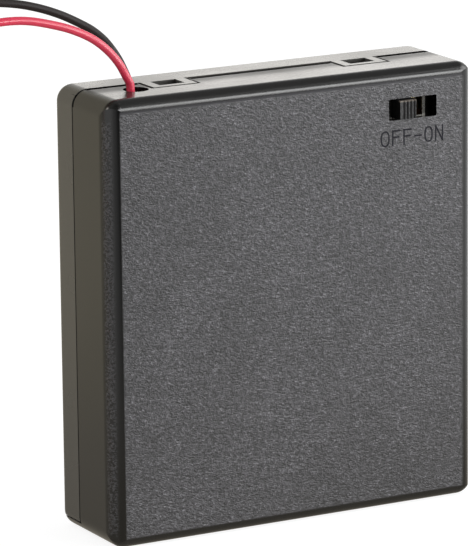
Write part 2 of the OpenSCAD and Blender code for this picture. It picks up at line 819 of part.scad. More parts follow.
module lead_black() {
    color([0.12, 0.12, 0.12]) tube(black_route, lead_d);
}

// bare end that carries straight on from the insulation
module bare_end(route) {
    n = len(route) - 1;
    t = heading(route, n);
    color([0.78, 0.76, 0.7]) tube([route[n], route[n] + tip_l * t], tip_d);
}

module lead_red_tip() {
    bare_end(red_route);
}

module lead_black_tip() {
    bare_end(black_route);
}

case_tub();
case_cover();
switch_frame();
switch_base();
terminal_off();
terminal_common();
terminal_on();
switch_knob();
switch_wiper();
contact_positive();
contact_negative();
bridge_head();
bridge_foot_left();
bridge_foot_right();
spring_1();
spring_2();
spring_3();
spring_4();
inner_lead_red();
inner_lead_black();
jumper_lead();
solder_positive();
solder_negative();
solder_common();
solder_on();
lead_red();
lead_black();
lead_red_tip();
lead_black_tip();
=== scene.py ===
import math

import bmesh
import bpy
from mathutils import Matrix, Vector


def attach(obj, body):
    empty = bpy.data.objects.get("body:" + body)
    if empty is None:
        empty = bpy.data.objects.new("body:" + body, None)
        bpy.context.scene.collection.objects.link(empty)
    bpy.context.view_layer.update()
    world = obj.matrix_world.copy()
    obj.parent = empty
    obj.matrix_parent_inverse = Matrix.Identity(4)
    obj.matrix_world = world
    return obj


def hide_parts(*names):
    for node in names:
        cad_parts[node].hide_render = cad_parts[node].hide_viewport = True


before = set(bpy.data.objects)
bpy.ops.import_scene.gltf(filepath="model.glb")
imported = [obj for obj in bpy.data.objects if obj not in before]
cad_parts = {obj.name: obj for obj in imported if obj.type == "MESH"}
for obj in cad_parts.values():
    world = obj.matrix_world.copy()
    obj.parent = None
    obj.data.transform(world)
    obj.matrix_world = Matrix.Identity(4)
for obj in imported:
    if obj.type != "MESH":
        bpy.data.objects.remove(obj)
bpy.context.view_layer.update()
MM = 0.001
scene = bpy.context.scene
scene.view_settings.view_transform = "Standard"


def mm(p):
    return Vector(p) * MM


# ---- camera at the photograph's angle ----

cam_data = bpy.data.cameras.new("camera")
cam = bpy.data.objects.new("camera", cam_data)
scene.collection.objects.link(cam)
right = Vector((0.87851865, -0.47758483, -0.01084916))
up = Vector((0.11869303, 0.19622487, 0.97334874))
forward = Vector((0.46272772, 0.85639274, -0.2290732))
turn = Matrix((right, up, -forward)).transposed().to_4x4()
cam.matrix_world = Matrix.Translation(mm((-352.97, -641.83, 211.2))) @ turn
cam_data.sensor_width = 36
cam_data.lens = 313.8
cam_data.clip_start = 0.01
cam_data.clip_end = 20
scene.camera = cam

# ---- sizes repeated from the source, in millimetres ----

Y_FRONT, Y_IN, Y_SEAM, Y_BACK = -8.45, -6.95, 2.95, 9.55
BAY_X = (-23.7, -7.9, 7.9, 23.7)
Z_FOOT, Z_BAY_END, Z_WIRING, BOX_H = 1.6, 58.6, 60.1, 71.0
Y_CELL = 0.55
Z_JOIN = 70.1
PRY_W = 0.9
RED_EXIT = Vector((-25.05, -1.85, Z_JOIN))
BLACK_EXIT = Vector((-24.2, -0.15, Z_JOIN))
LEAD_D, TIP_D, TIP_L = 1.3, 0.7, 5.0
RED_ROUTE = [RED_EXIT + Vector(p) for p in (
    (0, 0, 0), (0, 0, 0.7), (-0.1, 0, 2), (-0.8, 0, 3.3), (-1.8, 0, 5.1))] + [
    Vector(p) for p in (
        (-28.5, -1.7, 77.3), (-31.1, -1.6, 79.5), (-34.6, -1.5, 81.3), (-38.2, -1.5, 82.5),
        (-42.6, -1.5, 83.5), (-47, -1.6, 83.7), (-51.6, -1.8, 83.2), (-56.2, -2, 81.6),
        (-60.6, -2.2, 78.6), (-64.4, -2.4, 74.4), (-67.4, -2.6, 69), (-69.6, -2.8, 62.6),
        (-71.2, -3, 55.4), (-72.4, -3.2, 47.6), (-73.2, -3.4, 39.4), (-73.7, -3.6, 31),
        (-74, -3.8, 22.8), (-74, -4, 15.2), (-73.5, -4.3, 9), (-72.2, -4.7, 4.4),
        (-70, -5.2, 1.7), (-67, -5.8, 0.7), (-62.4, -6.6, 0.7), (-57.6, -7.4, 0.7))]
BLACK_ROUTE = [BLACK_EXIT + Vector(p) for p in (
    (0, 0, 0), (0, 0, 0.7), (-0.1, 0.1, 1.6), (-0.5, 0.2, 2.7), (-1, 0.3, 3.9),
    (-1.7, 0.6, 5.5))] + [
    Vector(p) for p in (
        (-26.8, 0.7, 77.1), (-28.1, 1, 78.8), (-29.9, 1.3, 80.4), (-32.2, 1.6, 81.8),
        (-35.2, 1.8, 83.3), (-39, 1.9, 84.7), (-43.2, 2, 85.7), (-47.8, 2.2, 86.1),
        (-52.6, 2.4, 85.5), (-57.2, 2.6, 83.6), (-61.4, 2.8, 80.4), (-65, 3, 75.8),
        (-67.8, 3.2, 70.2), (-69.8, 3.4, 63.6), (-71.2, 3.6, 56.2), (-72.2, 3.8, 48.2),
        (-72.8, 4, 40), (-73.2, 4.2, 31.6), (-73.4, 4.4, 23.4), (-73.3, 4.7, 15.8),
        (-72.7, 5, 9.4), (-71.3, 5.4, 4.6), (-69.1, 5.9, 1.7), (-66, 6.5, 0.7), (-60.2, 7.4, 0.7))]


# ---- mesh helpers ----

def smooth_route(points, per=5):
    """Points on one smooth curve through the given ones."""
    pts = [Vector(p) for p in points]
    first = pts[0] * 2 - pts[1]
    last = pts[-1] * 2 - pts[-2]
    ext = [first] + pts + [last]
    out = []
    for i in range(1, len(ext) - 2):
        p0, p1, p2, p3 = ext[i - 1:i + 3]
        t0 = 0.0
        t1 = t0 + max((p1 - p0).length, 1e-6) ** 0.5
        t2 = t1 + max((p2 - p1).length, 1e-6) ** 0.5
        t3 = t2 + max((p3 - p2).length, 1e-6) ** 0.5
        for k in range(per):
            t = t1 + (t2 - t1) * k / per
            a1 = p0 * ((t1 - t) / (t1 - t0)) + p1 * ((t - t0) / (t1 - t0))
            a2 = p1 * ((t2 - t) / (t2 - t1)) + p2 * ((t - t1) / (t2 - t1))
            a3 = p2 * ((t3 - t) / (t3 - t2)) + p3 * ((t - t2) / (t3 - t2))
            b1 = a1 * ((t2 - t) / (t2 - t0)) + a2 * ((t - t0) / (t2 - t0))
            b2 = a2 * ((t3 - t) / (t3 - t1)) + a3 * ((t - t1) / (t3 - t1))
            out.append(b1 * ((t2 - t) / (t2 - t1)) + b2 * ((t - t1) / (t2 - t1)))
    out.append(pts[-1])
    return out


def sides_of(points):
    """Direction and two side vectors at each point, carried without twist."""
    out = []
    side = Vector((0, 1, 0.1))
    for i, p in enumerate(points):
        a = points[max(i - 1, 0)]
        b = points[min(i + 1, len(points) - 1)]
        t = (b - a).normalized()
        side = (side - side.dot(t) * t).normalized()
        out.append((t, side, t.cross(side)))
    return out


def add_tube(bm, points, radius, sides, turn=0.0):
    """Round tube along the points; radius is a number or a function of the share of the way."""
    rings = []
    n = len(points)
    for i, (p, (t, s, b)) in enumerate(zip(points, sides_of(points))):
        r = radius(i / (n - 1)) if callable(radius) else radius
        rings.append([bm.verts.new((p + r * (math.cos(a) * s + math.sin(a) * b)) * MM)
                      for a in (2 * math.pi * k / sides + turn for k in range(sides))])
    for a, b in zip(rings, rings[1:]):
        for k in range(sides):
            bm.faces.new((a[k], b[k], b[(k + 1) % sides], a[(k + 1) % sides]))
    bm.faces.new(rings[0])
    bm.faces.new(list(reversed(rings[-1])))


def finish_mesh(bm, name, mat, smooth=True):
    bmesh.ops.recalc_face_normals(bm, faces=bm.faces)
    mesh = bpy.data.meshes.new(name)
    bm.to_mesh(mesh)
    bm.free()
    if smooth:
        mesh.shade_smooth()
        mesh.set_sharp_from_angle(angle=math.radians(35))
    obj = bpy.data.objects.new(name, mesh)
    scene.collection.objects.link(obj)
    mesh.materials.append(mat)
    return obj


# ---- procedural materials ----

def new_material(name, color, roughness, metallic=0.0, specular=0.5, ior=1.5):
    mat = bpy.data.materials.new(name)
    mat.use_nodes = True
    tree = mat.node_tree
    bsdf = tree.nodes["Principled BSDF"]
    bsdf.inputs["Base Color"].default_value = (*color, 1)
    bsdf.inputs["Roughness"].default_value = roughness
    bsdf.inputs["Metallic"].default_value = metallic
    bsdf.inputs["Specular IOR Level"].default_value = specular
    bsdf.inputs["IOR"].default_value = ior
    return mat, tree, bsdf


def node(tree, kind, **values):
    n = tree.nodes.new(kind)
    for key, value in values.items():
        if key in n.inputs:
            n.inputs[key].default_value = value
        else:
            setattr(n, key, value)
    return n


def link(tree, a, b):
    tree.links.new(a, b)


def place(tree):
    return node(tree, "ShaderNodeTexCoord").outputs["Object"]


def noise(tree, where, scale, detail=2.0, rough=0.5, distortion=0.0):
    n = node(tree, "ShaderNodeTexNoise")
    n.inputs["Scale"].default_value = scale
    n.inputs["Detail"].default_value = detail
    n.inputs["Roughness"].default_value = rough
    n.inputs["Distortion"].default_value = distortion
    link(tree, where, n.inputs["Vector"])
    return n.outputs["Fac"]


def stretch(tree, where, scale):
    n = node(tree, "ShaderNodeMapping")
    n.inputs["Scale"].default_value = scale
    link(tree, where, n.inputs["Vector"])
    return n.outputs["Vector"]


def math_node(tree, op, a, b=None, c=None, clamp=False):
    n = tree.nodes.new("ShaderNodeMath")
    n.operation = op
    n.use_clamp = clamp
    for i, v in enumerate((a, b, c)):
        if v is None:
            continue
        if isinstance(v, (int, float)):
            n.inputs[i].default_value = v
        else:
            link(tree, v, n.inputs[i])
    return n.outputs[0]


def span(tree, value, a, b, out0=0.0, out1=1.0):
    """Maps a..b to out0..out1 with soft ends."""
    n = tree.nodes.new("ShaderNodeMapRange")
    n.interpolation_type = "SMOOTHSTEP"
    n.inputs["From Min"].default_value = a
    n.inputs["From Max"].default_value = b
    n.inputs["To Min"].default_value = out0
    n.inputs["To Max"].default_value = out1
    link(tree, value, n.inputs["Value"])
    return n.outputs["Result"]


def blend_color(tree, fac, a, b):
    n = tree.nodes.new("ShaderNodeMix")
    n.data_type = "RGBA"
    link(tree, fac, n.inputs["Factor"])
    for i, v in ((6, a), (7, b)):
        if isinstance(v, tuple):
            n.inputs[i].default_value = (*v, 1)
        else:
            link(tree, v, n.inputs[i])
    return n.outputs[2]


def bump(tree, height, strength, distance, normal=None):
    n = tree.nodes.new("ShaderNodeBump")
    n.inputs["Distance"].default_value = distance
    if isinstance(strength, (int, float)):
        n.inputs["Strength"].default_value = strength
    else:
        link(tree, strength, n.inputs["Strength"])
    link(tree, height, n.inputs["Height"])
    if normal is not None:
        link(tree, normal, n.inputs["Normal"])
    return n.outputs["Normal"]


def inside(tree, where, axis, low, high, soft):
    """1 between low and high along one axis, in metres, with soft ends."""
    sep = tree.nodes.new("ShaderNodeSeparateXYZ")
    link(tree, where, sep.inputs[0])
    v = sep.outputs[axis]
    a = span(tree, v, low - soft, low + soft)
    b = span(tree, v, high - soft, high + soft, 1.0, 0.0)
    return math_node(tree, "MULTIPLY", a, b)


def holes(tree, at, boxes):
    """1 inside the given boxes, in metres."""
    total = None
    for box in boxes:
        fac = inside(tree, at, "X", *box[0], 0.00006)
        for axis, limits in (("Y", box[1]), ("Z", box[2])):
            fac = math_node(tree, "MULTIPLY", fac, inside(tree, at, axis, *limits, 0.00006))
        total = fac if total is None else math_node(tree, "MAXIMUM", total, fac)
    return total


def moulded(name, color, rough, grey, field, opening=None, specular=0.5):
    """Moulded plastic: satin walls and edges, and a greyer spark-eroded grain on the large faces."""
    mat, tree, bsdf = new_material(name, color, rough, specular=specular)
    at = place(tree)
    lying = stretch(tree, at, (0.75, 1, 1.2))
    grain = noise(tree, lying, 2300, 2, 0.6)
    speck = noise(tree, lying, 4300, 1.5, 0.5)
    cloud = noise(tree, at, 60, 3, 0.55)
    drag = noise(tree, stretch(tree, at, (60, 60, 1900)), 1, 2, 0.5)
    geo = tree.nodes.new("ShaderNodeNewGeometry")
    sep = tree.nodes.new("ShaderNodeSeparateXYZ")
    link(tree, geo.outputs["Normal"], sep.inputs[0])
    steep = math_node(tree, "ABSOLUTE", sep.outputs["Y"])
    flat = span(tree, steep, 0.985, 0.998)
    # the grain goes a little further round the right corner
    flat = math_node(tree, "MAXIMUM", flat,
                     math_node(tree, "MULTIPLY", span(tree, steep, 0.955, 0.98),
                               inside(tree, at, "X", 0.028, 0.034, 0.0005)))
    area = math_node(tree, "MULTIPLY", inside(tree, at, "X", *field[0], 0.0002),
                     inside(tree, at, "Z", *field[1], 0.00025))
    area = math_node(tree, "MULTIPLY", area, flat)
    toned = math_node(tree, "MULTIPLY", inside(tree, at, "X", *field[0], 0.0002),
                      inside(tree, at, "Z", field[1][0], field[1][1] + 0.0004, 0.0002))
    toned = math_node(tree, "MULTIPLY", toned, flat)
    height = math_node(tree, "ADD", grain, math_node(tree, "MULTIPLY", speck, 0.7))
    # the grain runs out over the upright front corners, before a smooth rim of the face
    side = math_node(tree, "MULTIPLY", span(tree, steep, 0.2, 0.4),
                     span(tree, steep, 0.72, 0.9, 1.0, 0.0))
    side = math_node(tree, "MULTIPLY", side, inside(tree, at, "Z", 0.0024, 0.0676, 0.0008))
    side = math_node(tree, "MULTIPLY", side,
                     span(tree, math_node(tree, "ABSOLUTE", sep.outputs["Z"]), 0.02, 0.1, 1.0, 0.0))
    # and lies thinly on the head
    crown = math_node(tree, "MULTIPLY", span(tree, sep.outputs["Z"], 0.9, 0.99),
                      inside(tree, at, "Z", 0.0705, 0.0720, 0.0002))
    grained = math_node(tree, "MAXIMUM", area, math_node(tree, "MULTIPLY", side, 1.4))
    grained = math_node(tree, "MAXIMUM", grained, math_node(tree, "MULTIPLY", crown, 0.22))
    first = bump(tree, height, grained, 0.0001)
    second = bump(tree, drag, 0.08, 0.00003, first)
    third = bump(tree, cloud, 0.05, 0.0004, second)
    link(tree, third, bsdf.inputs["Normal"])
    dark = tuple(c * 0.5 for c in grey)
    light = tuple(min(1, c * 1.7) for c in grey)
    tone = blend_color(tree, span(tree, height, 0.62, 1.1), dark, light)
    # painted highlight: the rarest grain specks get a very pale colour as glints
    painted_glint = tuple(min(1, c * 3.6) for c in grey)
    tone = blend_color(tree, span(tree, height, 1.0, 1.16), tone, painted_glint)
    tone = blend_color(tree, area, grey, tone)
    tone = blend_color(tree, toned, tuple(color), tone)
    faint = blend_color(tree, span(tree, height, 0.72, 1.02), tuple(c * 0.3 for c in color),
                        tuple(c * 1.3 for c in grey))
    tone = blend_color(tree, side, tone, faint)
    # smooth rim between the corner's grain and the face, made darker as painted shade
    rim = math_node(tree, "MULTIPLY", span(tree, steep, 0.78, 0.92),
                    span(tree, steep, 0.985, 0.998, 1.0, 0.0))
    rim = math_node(tree, "MULTIPLY", rim,
                    span(tree, math_node(tree, "ABSOLUTE", sep.outputs["Z"]), 0.02, 0.1, 1.0, 0.0))
    tone = blend_color(tree, rim, tone, tuple(c * 0.2 for c in color))
    # painted highlight: the legs of the snap loops get a paler colour
    tone = blend_color(tree, holes(tree, at, LIT_LOOP_LEGS), tone, (0.13, 0.127, 0.12))
    # painted shade: the openings of the snap loops are made near black
    tone = blend_color(tree, holes(tree, at, SHADED_LOOP_HOLES), tone, (0.002, 0.002, 0.002))
    if opening:
        # deep shade on the walls of the switch window
        shade = math_node(tree, "MULTIPLY", inside(tree, at, "X", *opening[0], 0.0001),
                          inside(tree, at, "Z", *opening[1], 0.0001))
        shade = math_node(tree, "MULTIPLY", shade, span(tree, steep, 0.6, 0.8, 1.0, 0.0))
        tone = blend_color(tree, shade, tone, (0.0015, 0.0015, 0.0015))
    tone = blend_color(tree, span(tree, cloud, 0.3, 0.75, 0.0, 0.25), tone, tuple(color))
    link(tree, tone, bsdf.inputs["Base Color"])
    r = math_node(tree, "ADD", span(tree, cloud, 0.3, 0.7, rough - 0.03, rough + 0.04),
                  math_node(tree, "MULTIPLY", area, 0.2))
    if opening:
        # duller towards the seam on the head
        dull = math_node(tree, "MULTIPLY", crown, inside(tree, at, "Y", -0.001, 0.0026, 0.0018))
        r = math_node(tree, "ADD", r, math_node(tree, "MULTIPLY", dull, 0.18))
    link(tree, r, bsdf.inputs["Roughness"])
    return mat


def metal(name, color, rough, brush=(30, 30, 900), strength=0.12, stain=0.25, shaded=None):
    mat, tree, bsdf = new_material(name, color, rough, metallic=1.0)
    at = place(tree)
    lines = noise(tree, stretch(tree, at, brush), 1, 3, 0.6)
    spots = noise(tree, at, 420, 3, 0.6)
    link(tree, bump(tree, lines, strength, 0.00003), bsdf.inputs["Normal"])
    link(tree, span(tree, spots, 0.3, 0.75, rough - 0.06, rough + 0.14), bsdf.inputs["Roughness"])
    dark = tuple(c * 0.72 for c in color)
    tone = blend_color(tree, span(tree, spots, 0.45, 0.8, 0.0, stain), tuple(color), dark)
    if shaded:
        # the part that lies in the window's shade
        tone = blend_color(tree, holes(tree, at, [shaded]), tone, (0.002, 0.002, 0.002))
    link(tree, tone, bsdf.inputs["Base Color"])
    return mat


def insulation(name, color, shade, rough, specular=0.5):
    """Extruded lead insulation with faint draw lines and a slight bloom."""
    mat, tree, bsdf = new_material(name, color, rough, specular=specular)
    at = place(tree)
    fine = noise(tree, at, 3200, 2, 0.5)
    bloom = noise(tree, at, 260, 3, 0.6)
    link(tree, bump(tree, fine, 0.08, 0.00002), bsdf.inputs["Normal"])
    link(tree, span(tree, bloom, 0.3, 0.7, rough - 0.05, rough + 0.1), bsdf.inputs["Roughness"])
    link(tree, blend_color(tree, span(tree, bloom, 0.35, 0.75, 0.0, 0.6), color, shade),
         bsdf.inputs["Base Color"])
    return mat


def plain_plastic(name, color, rough, grain=1800, strength=0.15, specular=0.5):
    mat, tree, bsdf = new_material(name, color, rough, specular=specular)
    at = place(tree)
    fine = noise(tree, at, grain, 3, 0.6)
    cloud = noise(tree, at, 400, 2, 0.5)
    link(tree, bump(tree, fine, strength, 0.00003), bsdf.inputs["Normal"])
    link(tree, span(tree, cloud, 0.3, 0.7, rough - 0.05, rough + 0.08), bsdf.inputs["Roughness"])
    dark = tuple(c * 0.7 for c in color)
    link(tree, blend_color(tree, span(tree, fine, 0.4, 0.7, 0.0, 0.5), tuple(color), dark),
         bsdf.inputs["Base Color"])
    return mat


def knob_material(name, color, rough):
    """Knob with pale crests, grooves and flanks blackened as painted shade, and a painted highlight on
    the upper edge.
    """
    mat, tree, bsdf = new_material(name, color, rough)
    at = place(tree)
    fine = noise(tree, at, 2600, 3, 0.6)
    link(tree, bump(tree, fine, 0.5, 0.00005), bsdf.inputs["Normal"])
    link(tree, span(tree, fine, 0.3, 0.7, rough - 0.06, rough + 0.12), bsdf.inputs["Roughness"])
    sep = tree.nodes.new("ShaderNodeSeparateXYZ")
    link(tree, at, sep.inputs[0])
    crest = span(tree, sep.outputs["Y"], (KNOB_Y + 0.01) * MM, (KNOB_Y + 0.09) * MM, 1.0, 0.0)
    tone = blend_color(tree, span(tree, fine, 0.42, 0.66), tuple(c * 0.35 for c in color),
                       tuple(c * 2.2 for c in color))
    # painted shade: everything behind the crests, the grooves and flanks, is made black
    tone = blend_color(tree, crest, (0.0012, 0.0012, 0.0012), tone)
    # painted highlight: the knob's top face gets a pale brown as if lit from above
    lit_upper_edge = math_node(tree, "MULTIPLY",
                      span(tree, sep.outputs["Z"], (KNOB_TOP - 0.3) * MM, (KNOB_TOP - 0.1) * MM),
                      span(tree, sep.outputs["Y"], (KNOB_Y + 0.2) * MM, (KNOB_Y + 0.7) * MM, 1.0, 0.0))
    tone = blend_color(tree, lit_upper_edge, tone, (0.13, 0.11, 0.09))
    link(tree, tone, bsdf.inputs["Base Color"])
    return mat


# parts of the snap loops and of the switch that the materials know, in metres; the loop holes get
# painted shade, the loop legs a painted highlight
SHADED_LOOP_HOLES = [((x - 0.0022, x + 0.0022), (-0.0003, 0.00288), (0.066, 0.0709)) for x in (-0.017, 0.017)]
LIT_LOOP_LEGS = [((x - 0.0038, x + 0.0038), (-0.00142, 0.0027), (0.0705, 0.0712)) for x in (-0.017, 0.017)]
KNOB_Y, KNOB_TOP = -9.55, 66.1

CASE = moulded("case_abs", (0.0085, 0.0083, 0.0078), 0.22, (0.0445, 0.0432, 0.0468),
               ((-0.0306, 0.0309), (0.0016, 0.0688)), ((0.0168, 0.0260), (0.0626, 0.0666)))
COVER = moulded("cover_abs", (0.055, 0.0525, 0.0475), 0.26, (0.07, 0.068, 0.065),
                ((-0.0300, 0.0300), (0.0045, 0.0680)))
KNOB = knob_material("knob_plastic", (0.014, 0.014, 0.0145), 0.42)
STEEL = metal("switch_steel", (0.07, 0.068, 0.063), 0.28, (900, 40, 40),
              shaded=((0.0245, 0.0270), (-0.0072, -0.0064), (0.0620, 0.0672)))
BOARD = plain_plastic("switch_board", (0.13, 0.06, 0.028), 0.5, 900, 0.3)
BRASS = metal("terminal_brass", (0.6, 0.5, 0.3), 0.36)
WIPER = metal("wiper_bronze", (0.3, 0.19, 0.11), 0.36)
NICKEL = metal("contact_nickel", (0.72, 0.7, 0.65), 0.26, (900, 60, 60))
SPRING = metal("spring_nickel", (0.74, 0.72, 0.68), 0.22, (60, 60, 60), 0.05)
SOLDER = metal("solder", (0.7, 0.7, 0.69), 0.3, (300, 300, 300), 0.3)
TINNED = metal("tinned_wire", (0.8, 0.78, 0.73), 0.3, (400, 400, 400), 0.1)
RED = insulation("lead_red", (0.6, 0.032, 0.072), (0.54, 0.024, 0.058), 0.3, 0.65)
BLACK = insulation("lead_black", (0.02, 0.0165, 0.0155), (0.028, 0.023, 0.022), 0.5, 0.2)
# painted shade: near-black strokes stand for the shade in the relief letters of the legend
LEGEND_SHADE = plain_plastic("legend_shade_strokes", (0.012, 0.0115, 0.016), 0.5, 2600, 0.3, 0.12)
# black sheet over the seam, a painted shade of the seam groove
SEAM_SHADE = plain_plastic("seam_shadow", (0.003, 0.003, 0.003), 0.9, 1200, 0.3, 0.0)

for name, mat in {
        "case_tub": CASE, "case_cover": COVER, "switch_frame": STEEL, "switch_base": BOARD,
        "terminal_off": BRASS, "terminal_common": BRASS, "terminal_on": BRASS,
        "switch_knob": KNOB, "switch_wiper": WIPER, "contact_positive": NICKEL,
        "contact_negative": NICKEL, "bridge_head": NICKEL, "bridge_foot_left": NICKEL,
        "bridge_foot_right": NICKEL, "inner_lead_red": RED, "inner_lead_black": BLACK,
        "jumper_lead": BLACK, "solder_positive": SOLDER, "solder_negative": SOLDER,
        "solder_common": SOLDER, "solder_on": SOLDER}.items():
    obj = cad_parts[name]
    if obj.data.materials:
        for i in range(len(obj.data.materials)):
            obj.data.materials[i] = mat
    else:
        obj.data.materials.append(mat)

# ---- flying leads ----

def strand_end(name, route):
    """Tinned strands twisted together, carried straight on from the insulation."""
    start = route[-1]
    t, s, b = sides_of(route)[-1]
    bm = bmesh.new()
    outer, wire = 0.225, 0.12
    add_tube(bm, [start - t * 0.4, start, start + t * (TIP_L - 0.1)], wire, 10)
    for k in range(6):
        pts = []
        for i in range(41):
            u = i / 40
            a = 2 * math.pi * (k / 6 + 1.6 * u)
            pts.append(start + t * (-0.4 + (TIP_L + 0.35) * u)
                       + outer * (math.cos(a) * s + math.sin(a) * b))
        add_tube(bm, pts, wire, 10)
    obj = finish_mesh(bm, name, TINNED)
    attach(obj, "case")
    return obj


def free_lead(name, route, mat, cad, tip_cad):
    # the curve mustn't dip into the ground
    pts = [Vector((p.x, p.y, max(p.z, LEAD_D / 2))) for p in smooth_route(route)]
    tip = strand_end(name + "_strands", pts)
    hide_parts(tip_cad)
    bm = bmesh.new()
    add_tube(bm, pts, LEAD_D / 2, 24)
    obj = finish_mesh(bm, name + "_insulation", mat)
    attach(obj, "case")
    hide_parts(cad)
    return obj


free_lead("red_lead", RED_ROUTE, RED, "lead_red", "lead_red_tip")
free_lead("black_lead", BLACK_ROUTE, BLACK, "lead_black", "lead_black_tip")

# ---- springs, round in section ----

def spring(index, top):
    steps, coils, wire = 28, 5, 0.7
    r0, r1, rise = (10.4 - wire) / 2, (6.2 - wire) / 2, 8.4 - wire
    z = Z_BAY_END - 0.45 if top else Z_FOOT + 0.45
    way = -1 if top else 1
    pts = []
    for k in range(coils * steps + 1):
        turns = k / steps
        s = max(0, min(1, (turns - 0.8) / (coils - 1.6)))
        r = r0 + (r1 - r0) * s
        a = 2 * math.pi * turns
        pts.append(Vector((BAY_X[index] + r * math.cos(a), Y_CELL + r * math.sin(a),
                           z + way * (0.02 + wire / 2 + rise * s))))
    bm = bmesh.new()
    add_tube(bm, pts, wire / 2, 12)
    obj = finish_mesh(bm, f"spring_coil_{index + 1}", SPRING)
    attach(obj, "case")
    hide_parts(f"spring_{index + 1}")


for i, top in enumerate((False, True, False, True)):
    spring(i, top)

# ---- legend under the switch and polarity signs in the bays ----

def add_stroke(bm, points, width, height, y, outward=-1):
    """Flat stroke with a softly rounded crest on a face that looks along outward Y."""
    n = len(points)
    rows = []
    profile = [(-0.5, 0.0), (-0.42, 0.75), (-0.2, 1.0), (0.2, 1.0), (0.42, 0.75), (0.5, 0.0)]
    for i, (x, z) in enumerate(points):
        ax, az = points[max(i - 1, 0)]
        bx, bz = points[min(i + 1, n - 1)]
        d = Vector((bx - ax, bz - az)).normalized()
        side = Vector((-d.y, d.x))
        rows.append([bm.verts.new(Vector((x + side.x * u * width, y + outward * v * height,
                                          z + side.y * u * width)) * MM) for u, v in profile])
    m = len(profile)
    for a, b in zip(rows, rows[1:]):
        for k in range(m - 1):
            bm.faces.new((a[k], a[k + 1], b[k + 1], b[k]))
        bm.faces.new((a[m - 1], a[0], b[0], b[m - 1]))
    bm.faces.new(rows[0])
    bm.faces.new(list(reversed(rows[-1])))


def oval(cx, cz, w, h, n=28):
    pts = []
    for k in range(n + 1):
        a = 2 * math.pi * k / n + math.pi / 2
        c, s = math.cos(a), math.sin(a)
        pts.append((cx + w / 2 * math.copysign(abs(c) ** 0.8, c),
                    cz + h / 2 * math.copysign(abs(s) ** 0.8, s)))
    return pts


# the OFF-ON legend as thin dark strokes that paint the shade of its relief letters
bm = bmesh.new()
Z0, Z1, ST = 58.8, 61.35, 0.27
for x0, x1 in ((15.54, 17.19), (23.5, 25.06)):
    add_stroke(bm, oval((x0 + x1) / 2, (Z0 + Z1) / 2, x1 - x0 - ST, Z1 - Z0 - ST), ST, 0.03, Y_FRONT)
for x0 in (17.75, 19.8):
    add_stroke(bm, [(x0, Z0), (x0, Z1)], ST, 0.03, Y_FRONT)
    add_stroke(bm, [(x0, Z1 - ST / 2), (x0 + 1.35, Z1 - ST / 2)], ST, 0.03, Y_FRONT)
    add_stroke(bm, [(x0, 60.2), (x0 + 1.2, 60.2)], ST, 0.03, Y_FRONT)
add_stroke(bm, [(21.65, 60.05), (23.05, 60.05)], ST, 0.03, Y_FRONT)
add_stroke(bm, [(25.6, Z0), (25.6, Z1)], ST, 0.03, Y_FRONT)
add_stroke(bm, [(25.6, Z1 - 0.05), (26.85, Z0 + 0.05)], ST, 0.03, Y_FRONT)
add_stroke(bm, [(26.85, Z0), (26.85, Z1)], ST, 0.03, Y_FRONT)
legend = finish_mesh(bm, "legend_off_on", LEGEND_SHADE)
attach(legend, "case")

bm = bmesh.new()
for i, x in enumerate(BAY_X):
    plus_top = i % 2 == 0
    for top in (False, True):
        z = 51.5 if top else 8.7
        add_stroke(bm, [(x - 1.8, z), (x + 1.8, z)], 0.7, 0.25, Y_IN, 1)
        if top == plus_top:
            add_stroke(bm, [(x, z + 1.8), (x, z + 0.35)], 0.7, 0.25, Y_IN, 1)
            add_stroke(bm, [(x, z - 1.8), (x, z - 0.35)], 0.7, 0.25, Y_IN, 1)
signs = finish_mesh(bm, "polarity_signs", CASE)
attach(signs, "case")

# ---- painted shade of the seam in the head, beside the snap loops ----

bm = bmesh.new()
for x0, x1, y0, y1 in ((-30.5, -21.6, Y_SEAM - 0.95, Y_SEAM), (21.3, 30.5, Y_SEAM - 0.95, Y_SEAM),
                       (-12.6, 12.4, Y_SEAM - PRY_W - 0.45, Y_SEAM - PRY_W)):
    low, high = BOX_H, BOX_H + 0.02
    corners = [(x0, y0 + 0.1, low), (x0 + 0.5, y0, low), (x1 - 0.5, y0, low), (x1, y0 + 0.1, low),
               (x1, y1, low), (x0, y1, low)]
    under = [bm.verts.new(mm(c)) for c in corners]
    over = [bm.verts.new(mm((c[0], c[1], high))) for c in corners]
    bm.faces.new(list(reversed(under)))
    bm.faces.new(over)
    for k in range(len(corners)):
        j = (k + 1) % len(corners)
        bm.faces.new((under[k], under[j], over[j], over[k]))
gap = finish_mesh(bm, "seam_gap", SEAM_SHADE, smooth=False)
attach(gap, "case")

# ---- floor, light and world ----

def room(tree, where):
    """The room as gloss shows it: dim in front, and a warm card at the back left."""
    flat = node(tree, "ShaderNodeVectorMath", operation="MULTIPLY_ADD")
    flat.inputs[1].default_value = (1, 1, 0)
    flat.inputs[2].default_value = (0, 0, 0.05)
    link(tree, where, flat.inputs[0])
    unit = node(tree, "ShaderNodeVectorMath", operation="NORMALIZE")
    link(tree, flat.outputs[0], unit.inputs[0])
    parts = []
    for az, near, far, low in ((279, 13, 30, 0.03), (262, 5, 45, 0.5), (125, 25, 70, 0.0)):
        dot = node(tree, "ShaderNodeVectorMath", operation="DOT_PRODUCT")
        dot.inputs[1].default_value = (math.cos(math.radians(az)), math.sin(math.radians(az)), 0)
        link(tree, unit.outputs[0], dot.inputs[0])
        parts.append(span(tree, dot.outputs["Value"], math.cos(math.radians(far)),
                          math.cos(math.radians(near)), 1.0, low))
    color = blend_color(tree, parts[2], (0.7, 0.64, 0.5), (1.0, 1.0, 1.0))
    return color, math_node(tree, "MULTIPLY", parts[0], parts[1])


